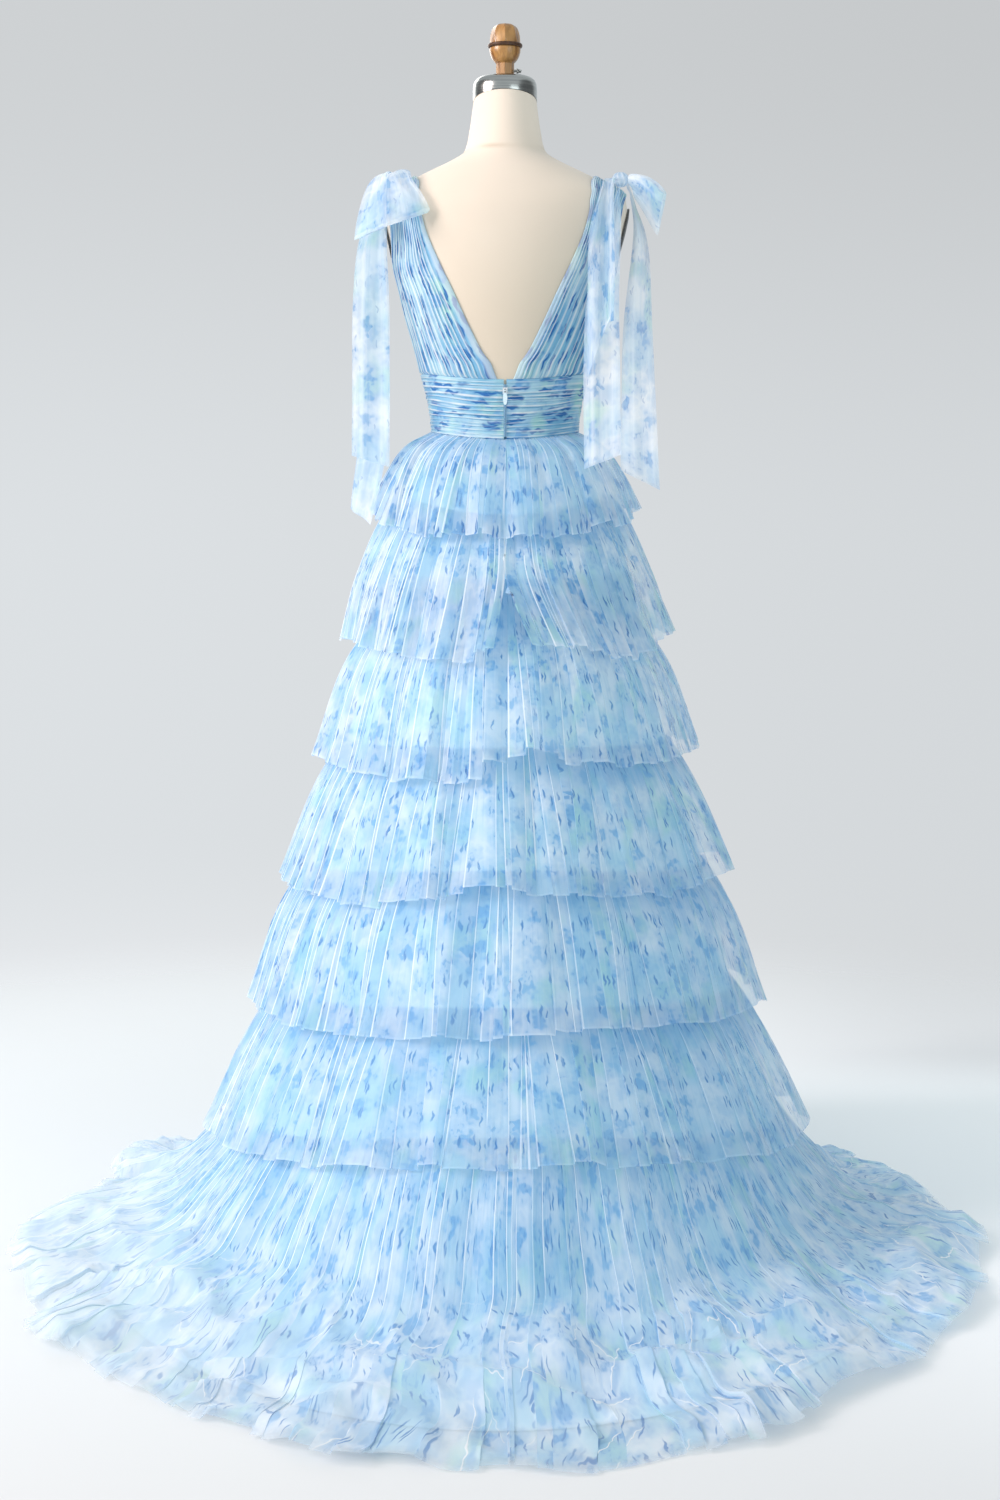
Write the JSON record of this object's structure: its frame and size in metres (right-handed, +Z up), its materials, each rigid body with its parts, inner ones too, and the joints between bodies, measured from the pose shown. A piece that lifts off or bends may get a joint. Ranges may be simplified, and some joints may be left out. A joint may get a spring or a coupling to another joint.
{
  "type": "ball gown on a dress form",
  "caption": "Sleeveless ball gown with a deep V back, shoulder bows, ruched waistband, gathered tiers and a train, on a limbless dress form with a stand.",
  "frame": {"origin": "centre of the stand base's underside, on the floor", "axes": "+Z up, -Y towards the front, +Y along the train, +X towards the wearer's left"},
  "size_m": [1.2802, 1.5455, 1.6796],
  "materials": {
    "cast_iron": "black, satin",
    "steel": "brushed",
    "linen": "plain linen, matt",
    "oak": "oak, satin varnish",
    "dark_ring": "dark stained, satin",
    "bodice_tulle": "pleated printed tulle",
    "skirt_tulle": "gathered printed tulle",
    "bow_tulle": "printed tulle ribbon",
    "underskirt_cloth": "plain satin-weave cloth",
    "zip_tape": "nylon zip chain and tape"
  },
  "bodies": {
    "gown_and_form": {"stand_base": "cast_iron", "stand_pole": "steel", "form_body": "linen", "neck_cap": "steel", "arm_plate_left": "steel", "arm_plate_right": "steel", "bodice_back_left": "bodice_tulle", "bodice_back_right": "bodice_tulle", "bodice_front_left": "bodice_tulle", "bodice_front_right": "bodice_tulle", "waistband_back_left": "bodice_tulle", "waistband_back_right": "bodice_tulle", "waistband_front": "bodice_tulle", "zip_chain": "zip_tape", "zip_slider": "steel", "underskirt": "underskirt_cloth", "tier_1": "skirt_tulle", "tier_2": "skirt_tulle", "tier_3": "skirt_tulle", "tier_4": "skirt_tulle", "tier_5": "skirt_tulle", "tier_6": "skirt_tulle", "tier_7": "skirt_tulle", "bow_left_knot": "bow_tulle", "bow_right_knot": "bow_tulle", "bow_left_inner_loop": "bow_tulle", "bow_left_outer_loop": "bow_tulle", "bow_right_outer_loop": "bow_tulle", "bow_left_inner_tail": "bow_tulle", "bow_left_outer_tail": "bow_tulle", "bow_right_front_tail": "bow_tulle", "bow_right_middle_tail": "bow_tulle", "bow_right_outer_tail": "bow_tulle"},
    "zip_pull": {"zip_pull": "steel"},
    "finial": {"finial": "oak", "finial_ring": "dark_ring"},
    "thumb_screw": {"thumb_screw": "steel"}
  },
  "joints": [
    {"name": "finial_lift", "type": "slide", "parent": "gown_and_form", "child": "finial", "axis": [0, 0, 1], "range_m": [0, 0.012]},
    {"name": "thumb_screw_turn", "type": "hinge", "parent": "finial", "child": "thumb_screw", "pos_m": [-0.0071, 0, 1.6146], "axis": [1, 0, 0], "continuous": true},
    {"name": "zip_pull_swing", "type": "hinge", "parent": "gown_and_form", "child": "zip_pull", "pos_m": [0, 0.09546, 1.161], "axis": [1, 0, 0], "range_deg": [0, 165]}
  ]
}
